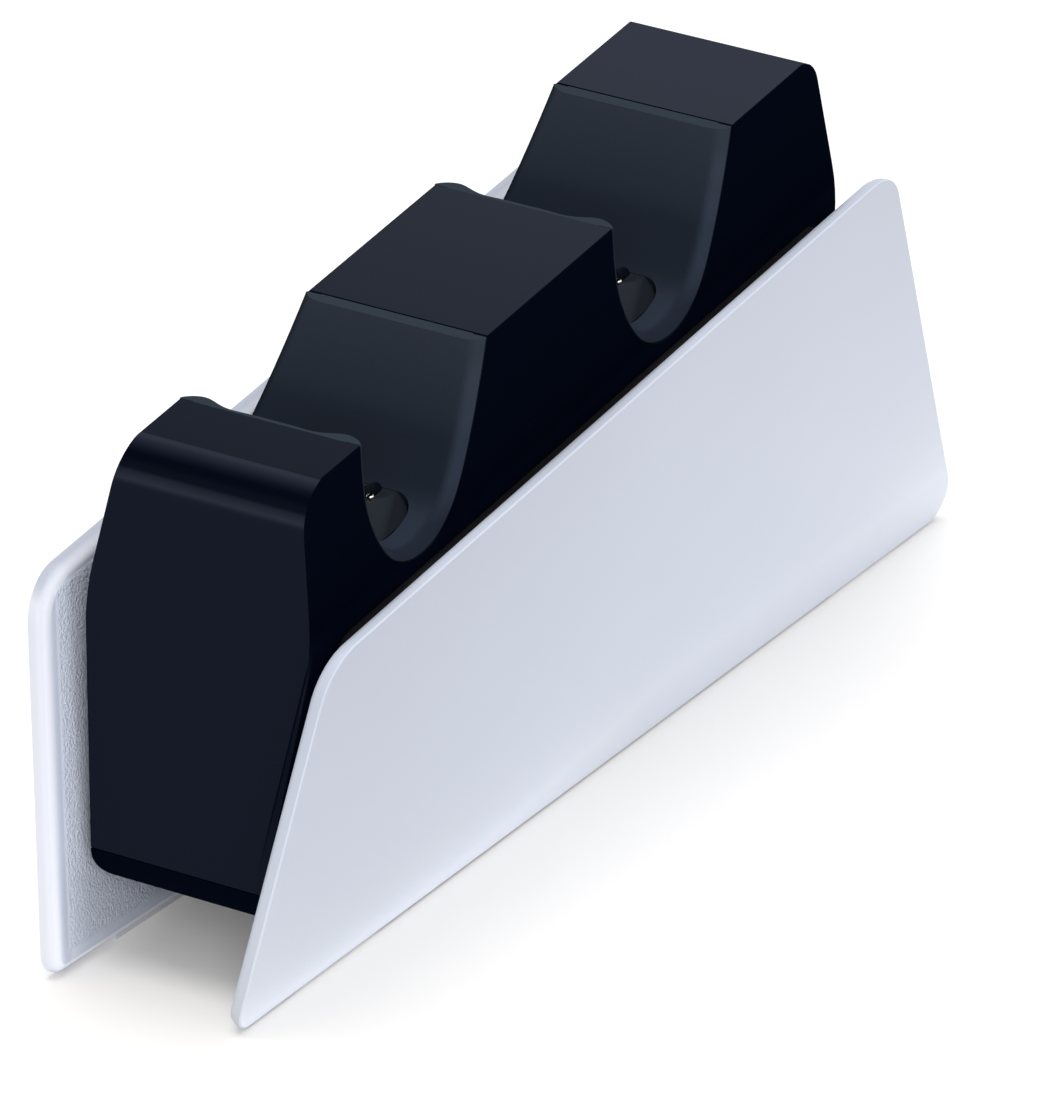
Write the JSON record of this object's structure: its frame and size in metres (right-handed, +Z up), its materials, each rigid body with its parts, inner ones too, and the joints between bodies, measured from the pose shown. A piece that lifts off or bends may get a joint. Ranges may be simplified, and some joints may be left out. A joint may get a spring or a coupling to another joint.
{
  "type": "controller charging dock",
  "caption": "Sloping desktop charging dock for game controllers: a dark central body with lined cradles and spring contacts between angled white side panels.",
  "frame": {"origin": "on the surface the dock stands on, under the middle of its overall outline", "axes": "+X to the dock's right-hand panel, +Y from the low front end to the high rear end, +Z up"},
  "size_m": [0.0512, 0.2018, 0.0924],
  "materials": {
    "housing": "black, glossy sides and a satin top",
    "liner": "soft matte grey with a fine grain",
    "pod": "satin black",
    "contact": "plated, bright",
    "spring": "drawn wire",
    "panel": "smooth satin white",
    "spacer": "satin black",
    "pad": "matte rubber",
    "screw": "dark plated steel",
    "circuit_board": "green solder mask",
    "inlet": "matte black moulding",
    "ballast": "plain steel block"
  },
  "bodies": {
    "dock": {"housing": "housing", "base_tray": "housing", "base_screws": "screw", "panel_screws": "screw", "pod_screws_front": "screw", "pod_screws_rear": "screw", "side_panel_right": "panel", "side_panel_left": "panel", "spacer_plate_right": "spacer", "spacer_plate_left": "spacer", "foot_pads_right": "pad", "foot_pads_left": "pad", "main_board": "circuit_board", "terminal_board_front": "circuit_board", "terminal_board_rear": "circuit_board", "power_inlet": "inlet", "power_inlet_pin": "contact", "ballast_weight": "ballast", "cradle_liner_front": "liner", "cradle_liner_rear": "liner", "contact_pod_front": "pod", "contact_pod_rear": "pod", "contact_sleeves_front": "contact", "contact_sleeves_rear": "contact", "contact_spring_front_left": "spring", "contact_spring_front_right": "spring", "contact_spring_rear_left": "spring", "contact_spring_rear_right": "spring"},
    "contact_front_left": {"contact_pin_front_left": "contact"},
    "contact_front_right": {"contact_pin_front_right": "contact"},
    "contact_rear_left": {"contact_pin_rear_left": "contact"},
    "contact_rear_right": {"contact_pin_rear_right": "contact"}
  },
  "joints": [
    {"name": "press_front_left", "type": "slide", "parent": "dock", "child": "contact_front_left", "axis": [0, -0.1281, 0.9918], "range_m": [-0.001, 0], "stiffness_N_per_m": 400, "springref_m": 0.0005, "deforming": ["contact_spring_front_left"]},
    {"name": "press_front_right", "type": "slide", "parent": "dock", "child": "contact_front_right", "axis": [0, -0.1281, 0.9918], "range_m": [-0.001, 0], "stiffness_N_per_m": 400, "springref_m": 0.0005, "deforming": ["contact_spring_front_right"]},
    {"name": "press_rear_left", "type": "slide", "parent": "dock", "child": "contact_rear_left", "axis": [0, -0.1281, 0.9918], "range_m": [-0.001, 0], "stiffness_N_per_m": 400, "springref_m": 0.0005, "deforming": ["contact_spring_rear_left"]},
    {"name": "press_rear_right", "type": "slide", "parent": "dock", "child": "contact_rear_right", "axis": [0, -0.1281, 0.9918], "range_m": [-0.001, 0], "stiffness_N_per_m": 400, "springref_m": 0.0005, "deforming": ["contact_spring_rear_right"]}
  ]
}
